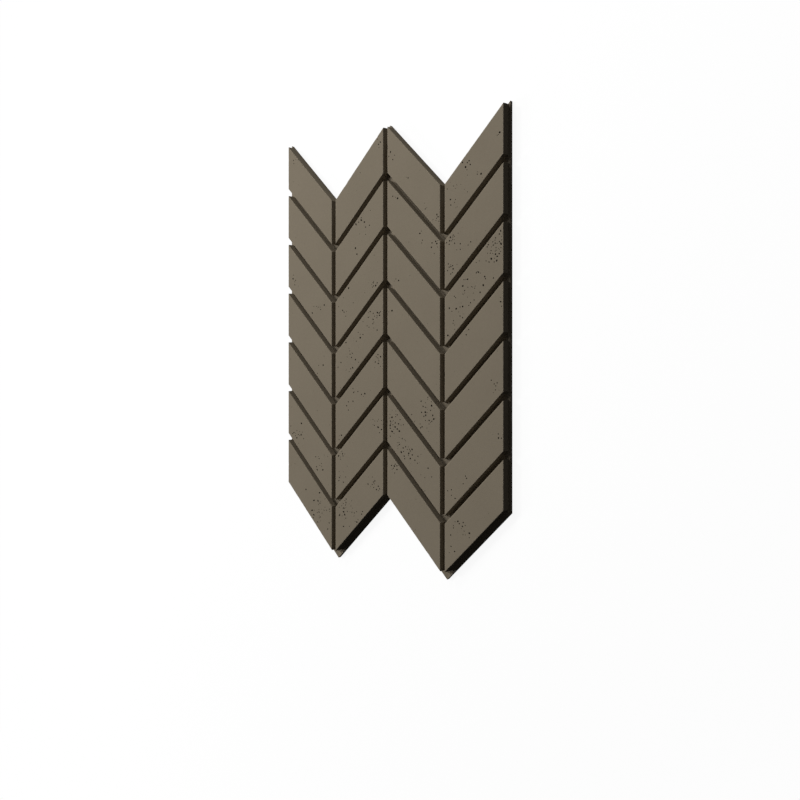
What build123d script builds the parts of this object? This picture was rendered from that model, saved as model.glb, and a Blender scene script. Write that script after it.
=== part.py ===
"""Chevron wall panel, cast in one piece of concrete.

The panel lies on its flat back with its face up. X runs across the columns, Y runs up the panel
as it hangs on a wall, and Z is the thickness. The origin is on the back, in the middle of the
panel's box. A thin backing plate carries columns of raised slanted blocks that mirror each other
from column to column, with open grooves between them. The plate follows the same zigzag at its
head and foot, so that the points of one panel nest in the notches of the next.
"""
import math
import os

from build123d import *

# Driving dimensions, in millimetres and degrees
COLUMNS = 4
ROWS = 7
COLUMN_PITCH = 126.0        # groove centre to groove centre, across the panel
ROW_PITCH = 95.0            # block to block, straight up the panel
SLANT = 45.0                # slope of the blocks from the horizontal
GROOVE = 9.1                # clear width of every groove at its floor
BACKING = 5.8               # plate behind the grooves
RELIEF = 13.5               # height of the blocks above the plate
SIDE_LIP = 4.4              # plate left bare beyond the blocks on the left and right edges
FOOT_LIP = 7.5              # plate left bare below the last blocks, square to the slanted edge
DRAFT = 1.0                 # taper of the block walls, which lets the casting leave its mould
ARRIS = 0.6                 # height of the eased edge round the face of each block
EASING = 45.0               # lean of that eased edge

# Sizes that follow from those
slope = math.tan(math.radians(SLANT))
upright = 1 / math.cos(math.radians(SLANT))     # straight up for each unit square to a slanted edge
block_width = COLUMN_PITCH - GROOVE
block_height = ROW_PITCH - GROOVE * upright
plate_height = (ROWS - 1) * ROW_PITCH + block_height + FOOT_LIP * upright    # at any one x
head_level = plate_height / 2                   # height of the head at the middle of every column


def column_centre(column):
    return (column - (COLUMNS - 1) / 2) * COLUMN_PITCH


def head(column, x):
    """Height of a column's head at x: one straight slant, falling and rising in turn."""
    lean = -slope if column % 2 == 0 else slope
    return head_level + lean * (x - column_centre(column))


def backing_plate():
    """The plate's outline turns at the groove centres, and its foot repeats its head."""
    last = COLUMNS - 1
    reach = block_width / 2 + SIDE_LIP
    left = column_centre(0) - reach
    right = column_centre(last) + reach
    turns = [(column, column_centre(column) + COLUMN_PITCH / 2) for column in range(last)]
    head_line = [(x, head(column, x)) for column, x in [(0, left), *turns, (last, right)]]
    foot_line = [(x, y - plate_height) for x, y in head_line]
    return extrude(make_face(Polyline(*foot_line, *reversed(head_line), close=True)), BACKING)


def block(column, row):
    """One slanted block: a parallelogram that the draft draws in, with eased face edges."""
    left = column_centre(column) - block_width / 2
    right = left + block_width
    top_line = [(x, head(column, x) - row * ROW_PITCH) for x in (left, right)]
    bottom_line = [(x, y - block_height) for x, y in top_line]
    seat = Pos(0, 0, BACKING) * make_face(Polyline(*bottom_line, *reversed(top_line), close=True))
    walls = extrude(seat, RELIEF - ARRIS, taper=DRAFT)
    shoulder = walls.faces().sort_by(Axis.Z)[-1]
    return walls + extrude(shoulder, ARRIS, taper=EASING)


blocks = [block(column, row) for column in range(COLUMNS) for row in range(ROWS)]
panel = backing_plate() + blocks

os.makedirs("parts", exist_ok=True)
export_step(panel, "parts/chevron_panel.step")
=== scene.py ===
# %% [markdown]
# # A chevron wall panel in cast concrete
#
# The real panel is one casting: wet concrete was poured into a mould with a zigzag outline, so a thin
# plate and its raised slanted blocks set as one piece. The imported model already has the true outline,
# blocks and grooves. This lesson gives that casting its skin: softened edges, air holes left by bubbles
# against the mould, and a dull, sandy, taupe-brown surface. The panel lies on its back, and the camera
# looks down on it at a slant.

# %% Load the frame
import math
import random

import bmesh
import bpy
from mathutils import Matrix, Vector, noise
from mathutils.geometry import delaunay_2d_cdt


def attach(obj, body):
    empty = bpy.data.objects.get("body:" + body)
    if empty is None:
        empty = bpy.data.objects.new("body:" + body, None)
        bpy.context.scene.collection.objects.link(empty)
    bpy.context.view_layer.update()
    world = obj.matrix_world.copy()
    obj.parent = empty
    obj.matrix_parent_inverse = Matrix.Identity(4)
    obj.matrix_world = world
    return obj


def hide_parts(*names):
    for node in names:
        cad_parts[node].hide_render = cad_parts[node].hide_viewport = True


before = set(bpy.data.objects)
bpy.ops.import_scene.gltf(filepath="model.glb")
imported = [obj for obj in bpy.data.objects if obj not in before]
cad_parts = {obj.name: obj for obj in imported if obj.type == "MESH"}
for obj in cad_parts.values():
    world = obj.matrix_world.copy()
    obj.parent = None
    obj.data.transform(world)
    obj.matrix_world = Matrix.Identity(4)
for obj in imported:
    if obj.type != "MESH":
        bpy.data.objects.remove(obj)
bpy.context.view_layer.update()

# %% [markdown]
# ## Read the casting's levels and outlines from the frame
#
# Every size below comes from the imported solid, so the skin always fits it. Its corner points lie on four
# levels: the back, the top of the plate, the shoulder where each wall ends, and the face of the blocks.
# The flat surfaces on a level give outlines: an edge that only one triangle uses is on the rim.

# %% Levels of the casting
MM = 0.001                      # the scene is in metres
TO_MM = 1000
HAIR = 0.01 * MM                # points nearer than this count as one
LEVEL_DIGITS = 5                # decimals by which heights are told apart
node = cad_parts["chevron_panel"]
solid_points = [node.matrix_world @ vertex.co for vertex in node.data.vertices]
back, plate_top, shoulder, face = sorted({round(point.z, LEVEL_DIGITS) for point in solid_points})
print("levels in mm:", [round(TO_MM * level, 2) for level in (back, plate_top, shoulder, face)])

# %% Outlines on a level
SPOT_DIGITS = 6                 # decimals by which places are told apart


def spot_key(point):
    """Points that lie on each other from above have the same key."""
    return round(point.x, SPOT_DIGITS), round(point.y, SPOT_DIGITS)


def at_level(level):
    """The solid's corner points on a level, seen from above, by key."""
    return {spot_key(point): point.xy for point in solid_points if abs(point.z - level) < HAIR}


def sides(loop):
    """Pairs of neighbours round a closed loop."""
    return list(zip(loop, loop[1:] + loop[:1]))


def flat_outlines(level):
    """Closed outlines of the flat surfaces on a level, each a list of corners, anticlockwise from above."""
    node.data.calc_loop_triangles()
    corners = at_level(level)
    rim_edges = set()
    for triangle in node.data.loop_triangles:
        points = [solid_points[index] for index in triangle.vertices]
        if max(abs(point.z - level) for point in points) > HAIR:
            continue
        a, b, c = (point.xy for point in points)
        keys = [spot_key(point) for point in points]
        if (b - a).cross(c - a) < 0:
            keys.reverse()
        for start, end in sides(keys):
            if (end, start) in rim_edges:
                rim_edges.remove((end, start))
            else:
                rim_edges.add((start, end))
    follow = dict(sorted(rim_edges))
    outlines = []
    while follow:
        start, key = follow.popitem()
        outline = [corners[start]]
        while key != start:
            outline.append(corners[key])
            key = follow.pop(key)
        outlines.append(outline)
    return outlines


face_outlines = flat_outlines(face)
plate_outline = flat_outlines(back)[0]
print(len(face_outlines), "blocks on a plate with", len(plate_outline), "corners")

# %% [markdown]
# ## Sort the blocks into columns and rows
#
# A block is kept as two outlines: its seat on the plate, and its crown, which is where its slanted
# walls would meet the face if the edge had not been eased. Both start at the lower left corner and
# run anticlockwise, so that corner 3 is always the upper left one.

# %% Blocks by column and row
COLUMN_DIGITS = 3               # decimals by which columns are told apart
COLUMN_SLACK = 2 * MM


def nearest(corner, candidates):
    return min(candidates.values(), key=lambda other: (other - corner).length)


def from_lower_left(outline):
    """The same outline, started at the lower of its two left corners."""
    left = min(corner.x for corner in outline)
    first = min((corner for corner in outline if corner.x < left + HAIR), key=lambda corner: corner.y)
    start = outline.index(first)
    return outline[start:] + outline[:start]


class Block:
    def __init__(self, outline):
        seats = at_level(plate_top)
        shoulders = at_level(shoulder)
        grow = (face - plate_top) / (shoulder - plate_top)
        face_corners = from_lower_left(outline)
        self.seat = [nearest(corner, seats) for corner in face_corners]
        self.crown = [foot.lerp(nearest(corner, shoulders), grow)
                      for foot, corner in zip(self.seat, face_corners)]
        self.centre = sum(self.seat, Vector((0, 0))) / len(self.seat)

    def place(self, across, down):
        """A point on the face: across runs from left to right, down from the head to the foot."""
        foot_left, foot_right, head_right, head_left = self.crown
        return head_left.lerp(head_right, across).lerp(foot_left.lerp(foot_right, across), down)


all_blocks = [Block(outline) for outline in face_outlines]
column_places = sorted({round(block.centre.x, COLUMN_DIGITS) for block in all_blocks})
columns = [sorted((block for block in all_blocks if abs(block.centre.x - x) < COLUMN_SLACK),
                  key=lambda block: -block.centre.y) for x in column_places]
easing = face - shoulder
print(len(columns), "columns of", [len(column) for column in columns], "blocks, edges eased by",
      round(TO_MM * easing, 2), "mm")

# %% [markdown]
# ## A basket for the mesh
#
# The skin is one closed mesh, built from loops of points that are sewn together in strips. A small class
# collects points and faces. Each point also carries two numbers that the finish reads later: hollow is 1
# deep in an air hole, and edge is 1 along the eased edge of a block.

# %% The mesh basket
INSIDE_LOOPS = 1                # the kind of paving that stays inside the outermost loop
PAVING_HAIR = 1e-5              # in millimetres, because paving is steadier with larger numbers


class Skin:
    def __init__(self):
        self.points = []
        self.faces = []
        self.hollow = []
        self.edge = []

    def point(self, flat, z, hollow=0.0, edge=0.0):
        self.points.append((flat.x, flat.y, z))
        self.hollow.append(hollow)
        self.edge.append(edge)
        return len(self.points) - 1

    def loop(self, flats, z):
        return [self.point(flat, z) for flat in flats]

    def sew(self, outer, inner):
        """Joins two anticlockwise loops of equal length with a strip that faces out or up."""
        for (outer_start, outer_end), (inner_start, inner_end) in zip(sides(outer), sides(inner)):
            self.faces.append((outer_start, outer_end, inner_end, inner_start))

    def flat(self, index):
        return Vector(self.points[index][:2])

    def pave(self, loops, loose, skip, facing_up=True):
        """Fills the first loop with triangles, and leaves out those inside the skipped loops."""
        indices = list(dict.fromkeys([index for loop in loops for index in loop] + loose))
        order = {index: k for k, index in enumerate(indices)}
        seams = [(order[start], order[end]) for loop in loops for start, end in sides(loop)]
        owner = {order[index]: number for number, loop in enumerate(skip) for index in loop}
        flats = [TO_MM * self.flat(index) for index in indices]
        points, _, triangles = delaunay_2d_cdt(flats, seams, [], INSIDE_LOOPS, PAVING_HAIR)[:3]
        if len(points) != len(indices):
            raise ValueError("two outlines of the skin cross")
        for a, b, c in triangles:
            if a in owner and owner[a] == owner.get(b) == owner.get(c):
                continue
            corner = [self.flat(indices[k]) for k in (a, b, c)]
            up = (corner[1] - corner[0]).cross(corner[2] - corner[0]) > 0
            turn = (a, b, c) if up == facing_up else (c, b, a)
            self.faces.append(tuple(indices[k] for k in turn))


skin = Skin()
print("an empty skin is ready")

# %% [markdown]
# ## Where air was trapped
#
# Bubbles cling to the mould in loose clouds, so some blocks are nearly clean and others are peppered.
# Scattering holes evenly would look like printed noise. Instead each cloud is listed one by one: its
# block, its middle as shares of the block's width and height, how far it spreads, and how many holes
# it has. Single holes fall at random everywhere between the clouds.

# %% Clouds of air holes
# (column, row): (across, down, spread in mm, holes) for each cloud
AIR_CLOUDS = {
    (0, 0): [(0.15, 0.15, 6, 3)],
    (0, 2): [(0.15, 0.65, 6, 5), (0.7, 0.55, 9, 7)],
    (0, 3): [(0.8, 0.6, 8, 4)],
    (0, 5): [(0.2, 0.75, 9, 16), (0.75, 0.6, 10, 11)],
    (0, 6): [(0.7, 0.5, 17, 36), (0.4, 0.55, 2, 1)],
    (1, 0): [(0.95, 0.25, 5, 4), (0.55, 0.1, 8, 1)],
    (1, 1): [(0.6, 0.25, 11, 9), (0.65, 0.6, 2, 1), (0.45, 0.65, 4, 2)],
    (1, 2): [(0.85, 0.85, 7, 7), (0.3, 0.65, 8, 4), (0.2, 0.1, 15, 4)],
    (1, 3): [(0.8, 0.35, 14, 21), (0.3, 0.55, 15, 16), (0.5, 0.3, 9, 6)],
    (1, 4): [(0.9, 0.25, 8, 11), (0.5, 0.45, 8, 6), (0.2, 0.3, 8, 4), (0.1, 0.85, 4, 3)],
    (1, 5): [(0.9, 0.5, 8, 11), (0.1, 0.1, 5, 8), (0.15, 0.7, 9, 8)],
    (1, 6): [(0.2, 0.1, 8, 16), (0.2, 0.5, 7, 8), (0.45, 0.8, 8, 10), (0.85, 0.6, 8, 12)],
    (2, 0): [(0.1, 0.5, 9, 4), (0.4, 0.6, 3, 2), (0.95, 0.8, 5, 6), (0.7, 0.85, 5, 3)],
    (2, 1): [(0.2, 0.1, 4, 3), (0.65, 0.4, 6, 4), (0.95, 0.1, 6, 7)],
    (2, 2): [(0.2, 0.75, 5, 3)],
    (2, 3): [(0.05, 0.45, 3, 2)],
    (2, 4): [(0.75, 0.25, 9, 9), (0.7, 0.65, 14, 22)],
    (2, 5): [(0.1, 0.4, 11, 28), (0.3, 0.65, 11, 18), (0.5, 0.5, 10, 12), (0.7, 0.7, 16, 5)],
    (2, 6): [(0.15, 0.15, 6, 8)],
    (3, 0): [(0.95, 0.5, 5, 4), (0.4, 0.15, 6, 6), (0.2, 0.4, 9, 6), (0.2, 0.75, 9, 6),
             (0.6, 0.8, 12, 4)],
    (3, 1): [(0.1, 0.1, 5, 11), (0.1, 0.7, 5, 10), (0.35, 0.6, 8, 5)],
    (3, 2): [(0.9, 0.3, 12, 36), (0.6, 0.55, 14, 11), (0.35, 0.4, 15, 19), (0.3, 0.75, 13, 12),
             (0.1, 0.9, 4, 3)],
    (3, 3): [(0.95, 0.3, 5, 3), (0.4, 0.1, 5, 3)],
    (3, 4): [(0.9, 0.8, 7, 7)],
    (3, 5): [(0.9, 0.55, 5, 3), (0.35, 0.65, 5, 3), (0.15, 0.75, 5, 4)],
    (3, 6): [(0.15, 0.3, 4, 3), (0.3, 0.4, 7, 8), (0.1, 0.65, 4, 3), (0.4, 0.75, 6, 4)],
}
print(sum(len(listed) for listed in AIR_CLOUDS.values()), "clouds of air holes on", len(AIR_CLOUDS),
      "blocks")

# %% Scatter the air holes
CLOUD_HOLE = 0.98 * MM          # middling radius of a hole in a cloud
STRAY_HOLE = 0.35 * MM          # middling radius of a hole between the clouds
SIZE_SPREAD = 0.36              # how much radii vary, as a logarithm
WIDEST_HOLE = 1.7 * MM          # largest radius
STRAY_HOLES = 6                 # holes between the clouds on each block
STRAY_SPREAD = 5 * MM
BORDER = 1.2 * MM               # strip inside each eased edge that stays free of holes
REACH = 1.5                     # furthest that a lopsided mouth goes from its middle, in radii
TRIES = 12
SEED = 28
chance = random.Random(SEED)


def edge_distance(block, spot):
    """How far a spot on the face is from the nearest side of the block's crown."""
    return min((end - start).normalized().cross(spot - start) for start, end in sides(block.crown))


def find_room(block, kept, middle, spread, typical):
    """Draws one hole near a cloud's middle. A few tries find a spot clear of the edge and other holes."""
    radius = min(chance.lognormvariate(math.log(typical), SIZE_SPREAD), WIDEST_HOLE)
    for _ in range(TRIES):
        spot = middle + Vector((chance.gauss(0, spread), chance.gauss(0, spread)))
        if edge_distance(block, spot) < BORDER + easing + REACH * radius:
            continue
        if all((spot - other).length > REACH * (radius + size) for other, size in kept):
            kept.append((spot, radius))
            return


def air_holes(column, row):
    """Middles and radii of a block's air holes."""
    block = columns[column][row]
    kept = []
    for across, down, spread, count in AIR_CLOUDS.get((column, row), []):
        for _ in range(count):
            find_room(block, kept, block.place(across, down), spread * MM, CLOUD_HOLE)
    for _ in range(STRAY_HOLES):
        find_room(block, kept, block.place(chance.random(), chance.random()), STRAY_SPREAD, STRAY_HOLE)
    return kept


holes = {(c, r): air_holes(c, r) for c in range(len(columns)) for r in range(len(columns[c]))}
widest = max(radius for found in holes.values() for _, radius in found)
print(sum(len(found) for found in holes.values()), "air holes, the largest mouth with a radius of",
      round(TO_MM * widest, 1), "mm")

# %% [markdown]
# ## One air hole
#
# A bubble leaves a rounded pit with a sharp, slightly lopsided mouth. Each one is a few rings and a
# bottom point: cheap enough to have hundreds, and real hollows catch the light from any side, which a
# bump map can't.

# %% Sink an air hole
# share of the radius, share of the depth, hollow (how much dust and painted shade darken it)
PIT_RINGS = ((1.0, 0.0, 0.0), (0.97, 0.1, 0.7), (0.88, 0.5, 0.9), (0.5, 0.9, 1.0))
FEWEST_CORNERS = 7
CORNER_PAIRS = 1500             # pairs of corners that each metre of radius adds
MOST_STRETCH = 1.36
MOST_LOPSIDED = 0.1
DEPTHS = (1.1, 1.7)             # least and most, in radii


def sink_hole(spot, radius):
    """Adds the wall of one air hole and returns the loop of its mouth."""
    corners = FEWEST_CORNERS + 2 * round(CORNER_PAIRS * radius)
    turn = chance.uniform(0, math.tau)
    stretch = chance.uniform(1.0, MOST_STRETCH)
    lopsided = chance.uniform(0, MOST_LOPSIDED)
    depth = radius * chance.uniform(*DEPTHS)
    lie = Matrix.Rotation(turn, 2)
    rings = []
    for share, sunk, hollow in PIT_RINGS:
        ring = []
        for k in range(corners):
            angle = math.tau * k / corners
            reach = share * radius * (1 + lopsided * math.sin(2 * angle + turn))
            offset = Vector((reach * math.cos(angle) * stretch, reach * math.sin(angle) / stretch ** 0.5))
            ring.append(skin.point(spot + lie @ offset, face - sunk * depth, hollow))
        rings.append(ring)
    for outer, inner in zip(rings, rings[1:]):
        skin.sew(outer, inner)
    bottom = skin.point(spot, face - depth, 1.0)
    for start, end in sides(rings[-1]):
        skin.faces.append((start, end, bottom))
    return rings[0]


print("each air hole is", len(PIT_RINGS), "rings and a bottom point")

# %% [markdown]
# ## Wear along an edge
#
# A block comes out of the mould with an edge that is never quite sharp: cement crumbles a little along
# it, and here and there a chip is gone. A bevel would be the same everywhere. Here the radius of the edge
# is worked out point by point from three noises, so that it wanders, chips now and then, and is nibbled
# where air holes are thick.

# %% Wear along an edge
# waves to the metre and weight of each noise; a chip or nibble starts where its noise is high enough
RIPPLES, RIPPLE_WEIGHT = 170, 0.45
CHIPS, CHIP_WEIGHT, CHIP_START = 75, 5, 0.42
NIBBLES, NIBBLE_WEIGHT, NIBBLE_START = 230, 5, 0.1
RIPPLE_LAYER, CHIP_LAYER, NIBBLE_LAYER = 3.0, 9.0, 5.0      # heights at which the noises are cut
MOST_WORN = 0.8                 # share of the strip without holes that wear may take
THICK_CLOUD = 2                 # holes for each mm of spread in a cloud that nibbles fully


def peppered(block, clouds, spot):
    """How thick the clouds of air holes are at a spot, from 0 on clean concrete to 1."""
    thick = 0.0
    for across, down, spread, count in clouds:
        away = (spot - block.place(across, down)).length / (spread * MM)
        thick += count / spread * math.exp(-away * away / 2)
    return min(1.0, thick / THICK_CLOUD)


def wave(spot, per_metre, layer):
    return noise.noise(Vector((per_metre * spot.x, per_metre * spot.y, layer)))


def worn_radius(spot, pepper):
    """Radius of the eased edge at a spot."""
    ripple = RIPPLE_WEIGHT * wave(spot, RIPPLES, RIPPLE_LAYER)
    chip = CHIP_WEIGHT * max(0.0, wave(spot, CHIPS, CHIP_LAYER) - CHIP_START)
    nibble = NIBBLE_WEIGHT * pepper * max(0.0, wave(spot, NIBBLES, NIBBLE_LAYER) - NIBBLE_START)
    return min(easing * (1 + ripple + chip + nibble), MOST_WORN * (easing + BORDER))


print("edges are worn to a radius of at most", round(TO_MM * MOST_WORN * (easing + BORDER), 2), "mm")

# %% [markdown]
# ## One block
#
# A block has straight, slightly tapered walls. It is built as a stack of loops. The lowest is its seat on
# the plate, the next ones turn the edge in a quarter round, and the last is a border on the face. Inside
# the border the face is paved with triangles around the mouths of its air holes. Loops keep the strips
# along the edge even, which a cut made by a modifier wouldn't.

# %% Loops round a block
EDGE_STEP = 2.5 * MM            # spacing of points along a block's edge


def around(corners, steps):
    """Points along a closed outline, with a given number of steps on each side."""
    points = []
    for (start, end), count in zip(sides(corners), steps):
        points += [start.lerp(end, k / count) for k in range(count)]
    return points


def left_of(start, end):
    way = (end - start).normalized()
    return Vector((-way.y, way.x))


def mitres(corners):
    """For each corner, the step inward that moves both of its sides in by one unit."""
    normals = [left_of(start, end) for start, end in sides(corners)]
    return [(a + b) / (1 + a.dot(b)) for a, b in zip(normals[-1:] + normals[:-1], normals)]


def inward(corners, steps):
    """The inward direction at each point that around() gives."""
    directions = []
    for (start, end), mitre, count in zip(sides(corners), mitres(corners), steps):
        directions += [mitre] + [left_of(start, end)] * (count - 1)
    return directions


print("block edges have a point every", round(TO_MM * EDGE_STEP, 1), "mm")

# %% Loose points on a face
PAVING_STEP = 10 * MM           # spacing of loose points that keep the face's triangles compact
STAGGER = 0.3                   # shift of every second row, in steps
PAVING_ROOM = 2 * MM            # free space between the border and a loose point
HOLE_ROOM = 2                   # free space round an air hole's middle, in radii, and a millimetre more


def paving_points(block, found):
    """Loose points on the face, clear of its air holes."""
    across_steps = round((block.crown[1].x - block.crown[0].x) / PAVING_STEP)
    down_steps = round((block.crown[3] - block.crown[0]).length / PAVING_STEP)
    points = []
    for i in range(1, across_steps):
        for j in range(1, down_steps):
            spot = block.place((i + STAGGER * (j % 2)) / across_steps, j / down_steps)
            clear = edge_distance(block, spot) > BORDER + easing + PAVING_ROOM
            if clear and all((spot - hole).length > HOLE_ROOM * radius + MM for hole, radius in found):
                points.append(skin.point(spot, face))
    return points


print("faces have a loose point about every", round(TO_MM * PAVING_STEP), "mm")

# %% Dress every block
QUARTER_ROUND = ((0, 0.4), (30, 1.0), (60, 1.0), (90, 0.7))     # degrees round the edge, edge number


def dress_block(block, clouds, found):
    """Adds one block's walls, edge, face and air holes, and returns the loop of its seat, side by side."""
    steps = [round((end - start).length / EDGE_STEP) for start, end in sides(block.seat)]
    seat = skin.loop(around(block.seat, steps), plate_top)
    crown = around(block.crown, steps)
    directions = inward(block.crown, steps)
    radii = [worn_radius(spot, peppered(block, clouds, spot)) for spot in crown]
    loops = [seat]
    for degrees, edge in QUARTER_ROUND:
        angle = math.radians(degrees)
        loops.append([skin.point(spot + way * radius * (1 - math.cos(angle)),
                                 face - radius * (1 - math.sin(angle)), 0.0, edge)
                      for spot, way, radius in zip(crown, directions, radii)])
    border = [corner + mitre * (easing + BORDER)
              for corner, mitre in zip(block.crown, mitres(block.crown))]
    loops.append(skin.loop(around(border, steps), face))
    for outer, inner in zip(loops, loops[1:]):
        skin.sew(outer, inner)
    mouths = [sink_hole(spot, radius) for spot, radius in found]
    skin.pave([loops[-1], *mouths], paving_points(block, found), mouths)
    starts = [sum(steps[:k]) for k in range(len(steps) + 1)]
    ring = seat + seat[:1]
    return [ring[start:end + 1] for start, end in zip(starts, starts[1:])]


seat_sides = []
for (column, row), found in holes.items():
    seat_sides.append(dress_block(columns[column][row], AIR_CLOUDS.get((column, row), []), found))
print(len(seat_sides), "blocks dressed with", len(skin.faces), "faces")

# %% [markdown]
# ## The plate behind the blocks
#
# The plate is a zigzag slab. Its top shows only as the floor of the grooves and as bare strips along the
# sides and the foot. At the head the first blocks stand flush with its edge, so there the plate's outline
# has to use the blocks' own points: then wall and plate are one surface, with no seam to catch light.

# %% Build the plate
RIM_STEP = 6 * MM               # spacing of points along the plate's free edges


def flush_sides(start, end):
    """Sides of seats that lie on one edge of the plate, in order along it."""
    way = (end - start).normalized()
    found = []
    for side in (side for block_sides in seat_sides for side in block_sides):
        first, last = skin.flat(side[0]), skin.flat(side[-1])
        off = max(abs(way.cross(first - start)), abs(way.cross(last - start)))
        if off < HAIR and 0 < way.dot(first - start) < way.dot(last - start) < (end - start).length:
            found.append((way.dot(first - start), side))
    return [side for _, side in sorted(found)]


rim = []
for start, end in sides(plate_outline):
    rim.append(skin.point(start, plate_top))
    flush = flush_sides(start, end)
    for side in flush:
        rim += side
    if not flush:
        count = round((end - start).length / RIM_STEP)
        rim += [skin.point(start.lerp(end, k / count), plate_top) for k in range(1, count)]
seats = [[index for side in block_sides for index in side[:-1]] for block_sides in seat_sides]
skin.pave([rim, *seats], [], seats)
underside = skin.loop([skin.flat(index) for index in rim], back)
skin.sew(underside, rim)
skin.pave([underside], [], [], facing_up=False)
print("plate rim of", len(rim), "points;", len(skin.faces), "faces in all")

# %% [markdown]
# ## Turn the basket into one mesh
#
# The strips and paving share their points, so the result is one closed surface, which is checked by
# counting edges that don't have exactly two faces. Shading is smooth, except over edges that turn by more
# than about a third of a right angle, so the quarter round looks round and the mouths of the air holes
# stay crisp.

# %% The panel's mesh
SHARP = math.radians(33)
TO_CM3 = 1e6
mesh = bpy.data.meshes.new("cast_panel")
mesh.from_pydata(skin.points, [], skin.faces)
for name, values in (("hollow", skin.hollow), ("edge", skin.edge)):
    mesh.attributes.new(name, "FLOAT", "POINT").data.foreach_set("value", values)
mesh.polygons.foreach_set("use_smooth", [True] * len(mesh.polygons))
mesh.set_sharp_from_angle(angle=SHARP)
mesh.validate()

check = bmesh.new()
check.from_mesh(mesh)
open_edges = sum(len(edge.link_faces) != 2 for edge in check.edges)
triangles = sum(len(polygon.verts) - 2 for polygon in check.faces)
print("open edges:", open_edges, "triangles:", triangles,
      "volume in cm3:", round(TO_CM3 * check.calc_volume(), 1))
check.free()

panel = bpy.data.objects.new("cast_panel", mesh)
bpy.context.scene.collection.objects.link(panel)
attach(panel, "root")
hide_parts("chevron_panel")

# %% [markdown]
# ## Shader sums in plain Python
#
# A material is a web of nodes. Writing its sums as Python keeps it readable: a Wire stands for one
# output of a node, and adding, subtracting or multiplying wires adds the Math node for it. Every other
# node comes from one method that takes the node's type, its settings, and its sockets.


# %% Wires
class Wire:
    def __init__(self, finish, socket):
        self.finish = finish
        self.socket = socket

    def sum_node(self, operation, first, second):
        return self.finish.add("ShaderNodeMath", {"operation": operation}, {0: first, 1: second})

    def __add__(self, other):
        return self.sum_node("ADD", self, other)

    def __radd__(self, other):
        return self.sum_node("ADD", other, self)

    def __sub__(self, other):
        return self.sum_node("SUBTRACT", self, other)

    def __rsub__(self, other):
        return self.sum_node("SUBTRACT", other, self)

    def __mul__(self, other):
        return self.sum_node("MULTIPLY", self, other)

    def __rmul__(self, other):
        return self.sum_node("MULTIPLY", other, self)


print("wires add, subtract and multiply")

# %% Finishes
# sockets of a Mix node that is set to colours, which share their names with those for numbers
MIX_FACTOR, MIX_FIRST, MIX_SECOND, MIX_RESULT = 0, 6, 7, 2


class Finish:
    def __init__(self, owner):
        owner.use_nodes = True
        self.tree = owner.node_tree
        self.tree.nodes.clear()

    def add(self, kind, settings=None, sockets=None, output=0):
        """Adds a node: settings first, then values or wires on its sockets. Gives one of its outputs."""
        made = self.tree.nodes.new(kind)
        for name, value in (settings or {}).items():
            setattr(made, name, value)
        for name, value in (sockets or {}).items():
            if isinstance(value, Wire):
                self.tree.links.new(value.socket, made.inputs[name])
            else:
                made.inputs[name].default_value = value
        return Wire(self, made.outputs[output]) if len(made.outputs) else None

    def between(self, value, low, high):
        """0 below low, 1 above high and smooth in between."""
        return self.add("ShaderNodeMapRange", {"interpolation_type": "SMOOTHSTEP"},
                        {"Value": value, "From Min": low, "From Max": high})

    def blend(self, factor, first, second):
        """Mixes two colours."""
        return self.add("ShaderNodeMix", {"data_type": "RGBA"},
                        {MIX_FACTOR: factor, MIX_FIRST: first, MIX_SECOND: second}, output=MIX_RESULT)

    def mottle(self, place, per_metre, detail):
        """Cloudy noise, about 0.5 on average, with so many clouds to the metre."""
        return self.add("ShaderNodeTexNoise", {}, {"Vector": place, "Scale": per_metre, "Detail": detail})


print("finishes blend, mottle and fade")

# %% [markdown]
# ## The concrete
#
# Cast concrete of this kind is dull and even: a taupe body with very faint clouds where the mix settled,
# a fine sandy speckle, pinholes too small to model, and edges a shade paler, where only cement filled the
# mould's corners. The pinholes and air holes are painted darker inside. Part of that is dust that stays
# there, and part is painted shade, of pinholes the mesh doesn't have and of air holes deeper than the
# modelled ones. Nearly all of it is in the colour, the roughness and a shallow bump, and all three come
# from the same few noises, so that a dark grain is also a little hollow.

# %% Noises of the concrete
CLOUDS, PATCHES, SAND = 16, 150, 1500       # to the metre
CLOUD_DETAIL, PATCH_DETAIL, SAND_DETAIL = 4.0, 3.0, 2.0
GRAINS = 330                    # to the metre; some hold a pinhole
# a grain's own random number, grown and cut, gives its pinhole's radius in grains
PINHOLE_GROWTH, PINHOLE_CUT, PINHOLE_RIM = 0.45, 0.36, 0.04
concrete = bpy.data.materials.new("cast_concrete")
mix = Finish(concrete)
place = mix.add("ShaderNodeTexCoord", output="Object")
clouds = mix.mottle(place, CLOUDS, CLOUD_DETAIL)
patches = mix.mottle(place, PATCHES, PATCH_DETAIL)
sand = mix.mottle(place, SAND, SAND_DETAIL)
grain_distance = mix.add("ShaderNodeTexVoronoi", {}, {"Vector": place, "Scale": GRAINS})
grain_colour = mix.add("ShaderNodeTexVoronoi", {}, {"Vector": place, "Scale": GRAINS}, output="Color")
grain_number = mix.add("ShaderNodeSeparateColor", {}, {"Color": grain_colour})
pinhole_radius = grain_number * PINHOLE_GROWTH - PINHOLE_CUT
pinholes = mix.between(pinhole_radius - grain_distance, 0.0, PINHOLE_RIM)
hollow = mix.add("ShaderNodeAttribute", {"attribute_name": "hollow"}, output="Fac")
edge = mix.add("ShaderNodeAttribute", {"attribute_name": "edge"}, output="Fac")
print("the concrete has", CLOUDS, "clouds,", PATCHES, "patches and", GRAINS, "grains to the metre")

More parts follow.
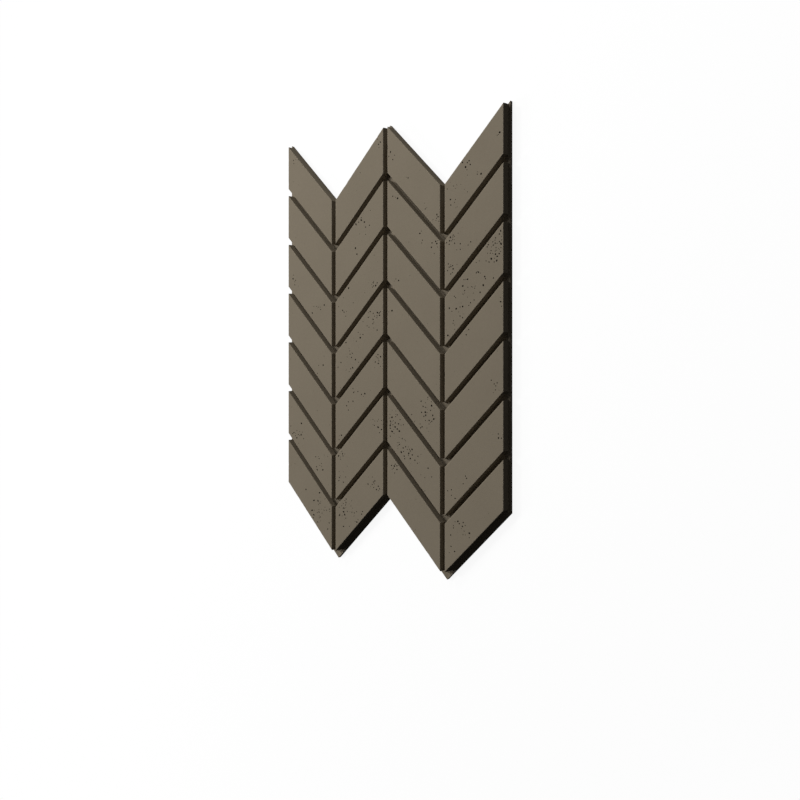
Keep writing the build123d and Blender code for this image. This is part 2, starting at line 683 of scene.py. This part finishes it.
# %% Colour and relief of the concrete
PALE = (0.230, 0.196, 0.147, 1)
SHADE = (0.170, 0.144, 0.107, 1)
# dust in the air holes and pinholes, which also serves as their painted shade
DUST_AND_HOLE_SHADE = (0.030, 0.024, 0.018, 1)
EVEN = 0.5                      # average of each noise, and of the tone between shade and pale
CLOUD_TONE, PATCH_TONE, SAND_TONE = 0.35, 0.2, 1.5
# how strongly pale edges, and dust with painted shade in pinholes and air holes, cover the colour
EDGE_COVER, PINHOLE_DUST_AND_SHADE, HOLLOW_DUST_AND_SHADE = 0.4, 0.6, 0.9
SAND_HEIGHT, PATCH_HEIGHT, PINHOLE_DEPTH = 0.5, 0.5, 0.6
BUMP_STRENGTH, BUMP_HEIGHT = 0.35, 0.5 * MM
DULL, SAND_DULL = 0.80, 0.14    # roughness, and what sand adds to it
tone = EVEN + (clouds - EVEN) * CLOUD_TONE + (patches - EVEN) * PATCH_TONE + (sand - EVEN) * SAND_TONE
colour = mix.blend(tone, SHADE, PALE)
colour = mix.blend(edge * EDGE_COVER, colour, PALE)
# pinholes painted dark: dust, and the painted shade of holes too small to model
colour = mix.blend(pinholes * PINHOLE_DUST_AND_SHADE, colour, DUST_AND_HOLE_SHADE)
# air holes painted darker deep inside: dust, and painted shade as of holes deeper than the mesh
colour = mix.blend(hollow * HOLLOW_DUST_AND_SHADE, colour, DUST_AND_HOLE_SHADE)
relief = sand * SAND_HEIGHT + patches * PATCH_HEIGHT - pinholes * PINHOLE_DEPTH
bumped = mix.add("ShaderNodeBump", {},
                 {"Strength": BUMP_STRENGTH, "Distance": BUMP_HEIGHT, "Height": relief})
surface = mix.add("ShaderNodeBsdfPrincipled", {}, {
    "Base Color": colour, "Roughness": DULL + sand * SAND_DULL, "Specular IOR Level": 0.0,
    "Normal": bumped})
mix.add("ShaderNodeOutputMaterial", {}, {"Surface": surface})
mesh.materials.append(concrete)
print("the concrete has", len(mix.tree.nodes), "nodes")

# %% [markdown]
# ## Floor and surroundings
#
# The panel lies on a plain white floor. The camera sees that floor as white with a soft shadow near the
# panel. Further off it fades to the same white as the sky, so that no horizon shows. For the light that
# bounces about, floor and sky are nearly dark, so the panel's sides keep the deep tones of a thing that
# is lit from one side.

# %% A wide floor
FLOOR_REACH = 12.0
FLOOR_GAP = 0.2 * MM            # keeps the floor and the panel's back from flickering through each other
half = FLOOR_REACH / 2
floor_level = back - FLOOR_GAP
floor_mesh = bpy.data.meshes.new("floor")
floor_mesh.from_pydata([(-half, -half, floor_level), (half, -half, floor_level),
                        (half, half, floor_level), (-half, half, floor_level)], [], [(0, 1, 2, 3)])
floor = bpy.data.objects.new("floor", floor_mesh)
bpy.context.scene.collection.objects.link(floor)
print("floor", FLOOR_REACH, "m across")

# %% White floor
FADE_FROM, FADE_TO = 0.6, 1.8   # metres from the panel's middle
FLOOR_GLOW = 0.92               # white that stays in the deepest shadow
FLOOR_SHADE = 0.09              # grey that the lamps light, and that the shadow takes away
FLOOR_BOUNCE = 0.04             # grey that bounced light meets


def grey(level):
    return level, level, level, 1


def seen_directly(finish):
    """1 for what the camera sees, also by way of gloss and glass, and 0 for light that bounces."""
    straight, glossy, through = (finish.add("ShaderNodeLightPath", output=name) for name in (
        "Is Camera Ray", "Is Glossy Ray", "Is Transmission Ray"))
    return finish.add("ShaderNodeClamp", {}, {"Value": straight + glossy + through})


WHITE = grey(1)
floor_finish = bpy.data.materials.new("white_floor")
ground = Finish(floor_finish)
glow = ground.add("ShaderNodeEmission", {}, {"Color": WHITE, "Strength": FLOOR_GLOW})
shaded = ground.add("ShaderNodeBsdfDiffuse", {}, {"Color": grey(FLOOR_SHADE)})
shadowed = ground.add("ShaderNodeAddShader", {}, {0: glow, 1: shaded})
blank = ground.add("ShaderNodeEmission", {}, {"Color": WHITE, "Strength": 1.0})
spot = ground.add("ShaderNodeTexCoord", output="Object")
away = ground.add("ShaderNodeVectorMath", {"operation": "LENGTH"}, {0: spot}, output="Value")
fade = ground.between(away, FADE_FROM, FADE_TO)
white = ground.add("ShaderNodeMixShader", {}, {0: fade, 1: shadowed, 2: blank})
dark = ground.add("ShaderNodeBsdfDiffuse", {}, {"Color": grey(FLOOR_BOUNCE)})
seen = ground.add("ShaderNodeMixShader", {}, {0: seen_directly(ground), 1: dark, 2: white})
ground.add("ShaderNodeOutputMaterial", {}, {"Surface": seen})
floor_mesh.materials.append(floor_finish)
print("the floor fades to white", FADE_TO, "m from the panel's middle")

# %% White sky
SKY_BOUNCE = 0.004
world = bpy.data.worlds.new("studio")
bpy.context.scene.world = world
sky = Finish(world)
dim = sky.add("ShaderNodeBackground", {}, {"Color": WHITE, "Strength": SKY_BOUNCE})
bright = sky.add("ShaderNodeBackground", {}, {"Color": WHITE, "Strength": 1.0})
either = sky.add("ShaderNodeMixShader", {}, {0: seen_directly(sky), 1: dim, 2: bright})
sky.add("ShaderNodeOutputWorld", {}, {"Surface": either})
print("the sky is white to the camera and gives a light of", SKY_BOUNCE)

# %% [markdown]
# ## Light
#
# Most of the light comes from the panel's upper left: a key softbox far off, a little under half way up to
# overhead, and a weaker one that is higher and reaches down into the grooves. Far lamps keep the faces
# even. A softbox at the left lifts the lower left, and its light bounces from wall to wall in the grooves.
# A small one near the head rakes the walls that face up and right, so these are brightest on the left. A
# low one beyond the head and a weak one on the right keep the other walls from going black, while the
# blocks' shadows hold the bare strips dark.

# %% Softboxes
# name, degrees around from the panel's right, degrees up from the floor, metres away, width, height, watts
SOFTBOXES = (
    ("key_softbox", 156, 42, 8.0, 1.2, 1.2, 350),
    ("high_softbox", 150, 57, 7.0, 1.1, 1.1, 72),
    ("left_softbox", 196, 28, 4.0, 0.9, 0.6, 46),
    ("near_softbox", 110, 35, 2.4, 0.4, 0.4, 21),
    ("low_softbox", 78, 5, 5.0, 1.4, 0.6, 44),
    ("side_softbox", 5, 42, 5.0, 1.2, 1.2, 8),
)
panel_middle = Vector((0, 0, face))


def hang_softbox(name, around_degrees, up_degrees, distance, width, height, power):
    """A lamp that faces the panel's middle."""
    lamp = bpy.data.lights.new(name, "AREA")
    lamp.shape = "RECTANGLE"
    lamp.size = width
    lamp.size_y = height
    lamp.energy = power
    turn, lift = math.radians(around_degrees), math.radians(up_degrees)
    way = Vector((math.cos(lift) * math.cos(turn), math.cos(lift) * math.sin(turn), math.sin(lift)))
    holder = bpy.data.objects.new(name, lamp)
    holder.location = panel_middle + way * distance
    holder.rotation_euler = way.to_track_quat("Z", "Y").to_euler()
    bpy.context.scene.collection.objects.link(holder)
    print(name, "hangs at", [round(value, 2) for value in holder.location])


for softbox in SOFTBOXES:
    hang_softbox(*softbox)

# %% [markdown]
# ## Camera
#
# The picture was taken from the panel's right, level with its middle, with upright edges kept upright.
# Now that the panel lies flat, the same view is a camera above its right side, turned about the panel's
# long axis alone. The horizon of the picture lies above the middle of the frame, and a small lens shift
# keeps it there.

# %% Camera
FRAME_PIXELS = 800
FOCAL_PIXELS = 891              # focal length, as pixels of the picture
HORIZON_PIXEL = 350.2           # picture row that is level with the camera
TURN = math.radians(39.408)     # from looking straight down
CAMERA_PLACE = (1.022, -0.006, 1.222)
camera_data = bpy.data.cameras.new("camera")
camera_data.sensor_width = 36.0
camera_data.lens = camera_data.sensor_width * FOCAL_PIXELS / FRAME_PIXELS
camera_data.shift_y = HORIZON_PIXEL / FRAME_PIXELS - 0.5
camera = bpy.data.objects.new("camera", camera_data)
camera.location = CAMERA_PLACE
camera.rotation_euler = (0, TURN, 0)
bpy.context.scene.collection.objects.link(camera)
bpy.context.scene.camera = camera
bpy.context.scene.view_settings.view_transform = "Standard"
print("camera with a lens of", round(camera_data.lens, 1), "mm")
